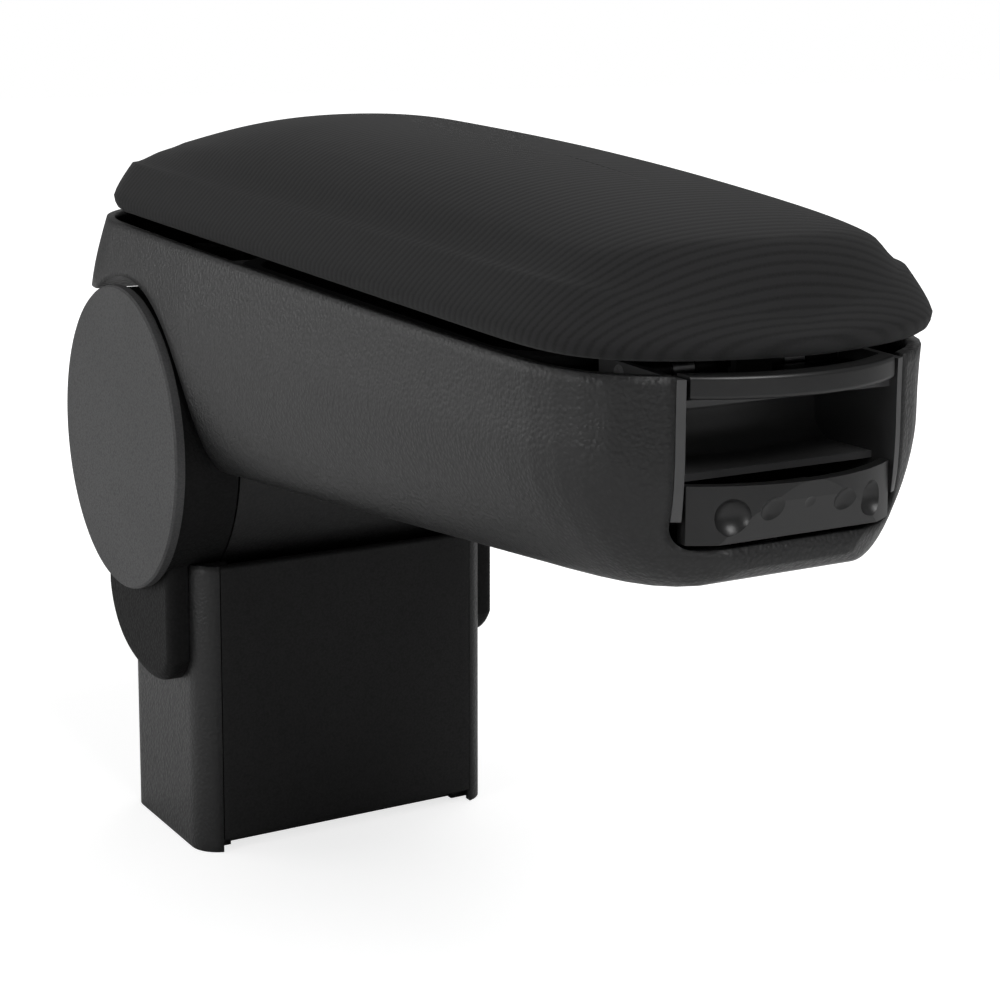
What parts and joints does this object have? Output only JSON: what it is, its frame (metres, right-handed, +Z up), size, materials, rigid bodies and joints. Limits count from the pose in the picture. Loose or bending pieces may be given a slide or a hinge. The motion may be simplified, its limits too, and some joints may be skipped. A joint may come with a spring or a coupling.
{
  "type": "car centre armrest",
  "caption": "Tilting car centre armrest on a column: padded hinged lid over a storage tub, lid release bar, tilt release lever and hub brake.",
  "frame": {"origin": "centre of the bolt pattern in the column's base face", "axes": "+X forward along the arm, +Y to the car's left, +Z up"},
  "size_m": [0.3251, 0.1212, 0.224],
  "materials": {
    "grained_plastic": "fine leather grain, matte charcoal",
    "disc_plastic": "flat matte with fine grain",
    "smooth_plastic": "smooth satin black",
    "inner_plastic": "plain matte black",
    "frame_steel": "black dip coat",
    "bright_steel": "zinc plated",
    "bush_plastic": "natural acetal",
    "pad_rubber": "matte rubber",
    "lid_fabric": "black cloth with fine ribs across"
  },
  "bodies": {
    "column": {"column_shell": "grained_plastic", "column_front_panel": "grained_plastic", "hub_side_right": "grained_plastic", "hub_side_left": "grained_plastic", "hub_disc_right": "disc_plastic", "hub_disc_left": "disc_plastic", "base_bracket": "frame_steel", "pivot_shaft": "bright_steel", "shaft_rings": "bright_steel", "brake_drum": "bright_steel"},
    "arm": {"arm_shell": "grained_plastic", "hub_centre_cover": "grained_plastic", "arm_bracket": "frame_steel", "bracket_screws": "bright_steel", "pivot_bushes": "bush_plastic", "shoe_pin": "bright_steel", "storage_tub": "inner_plastic", "tub_mat": "pad_rubber", "tub_screws": "bright_steel", "lever_carrier": "smooth_plastic", "latch_pin": "bright_steel", "lock_pin": "bright_steel", "latch_spring": "bright_steel", "lock_spring": "bright_steel", "lid_hinge_ears": "frame_steel", "lid_hinge_pins": "bright_steel"},
    "lid": {"lid_base": "inner_plastic", "lid_cushion": "lid_fabric", "lid_catch": "inner_plastic", "lid_screws": "bright_steel"},
    "latch_lever": {"latch_lever": "smooth_plastic"},
    "lock_lever": {"lock_lever": "smooth_plastic"},
    "pull_rod": {"pull_rod": "bright_steel"},
    "brake_shoe": {"brake_shoe": "bright_steel", "brake_pad": "pad_rubber"}
  },
  "joints": [
    {"name": "arm_tilt", "type": "hinge", "parent": "column", "child": "arm", "pos_m": [-0.0069, 0, 0.12465], "axis": [0, -1, 0], "range_deg": [0, 90]},
    {"name": "lid_hinge", "type": "hinge", "parent": "arm", "child": "lid", "pos_m": [-0.051, 0, 0.19765], "axis": [0, -1, 0], "range_deg": [0, 80]},
    {"name": "latch_lever_pull", "type": "hinge", "parent": "arm", "child": "latch_lever", "pos_m": [0.226, 0, 0.1754], "axis": [0, -1, 0], "range_deg": [0, 4], "stiffness_Nm_per_rad": 0.25, "springref_deg": -5.73},
    {"name": "lock_lever_pull", "type": "hinge", "parent": "arm", "child": "lock_lever", "pos_m": [0.238, 0, 0.1465], "axis": [0, -1, 0], "range_deg": [0, 12], "stiffness_Nm_per_rad": 0.25, "springref_deg": -5.73},
    {"name": "rod_pull", "type": "slide", "parent": "arm", "child": "pull_rod", "axis": [1, 0, 0], "range_m": [0, 0.00201]},
    {"name": "shoe_lift", "type": "hinge", "parent": "arm", "child": "brake_shoe", "pos_m": [0.00036, 0, 0.15376], "axis": [0, -1, 0], "range_deg": [0, 7.05]}
  ],
  "couplings": [
    {"joint": "rod_pull", "follows": "lock_lever_pull", "m_per_rad": 0.0095},
    {"joint": "shoe_lift", "follows": "lock_lever_pull", "ratio": 0.58333}
  ]
}
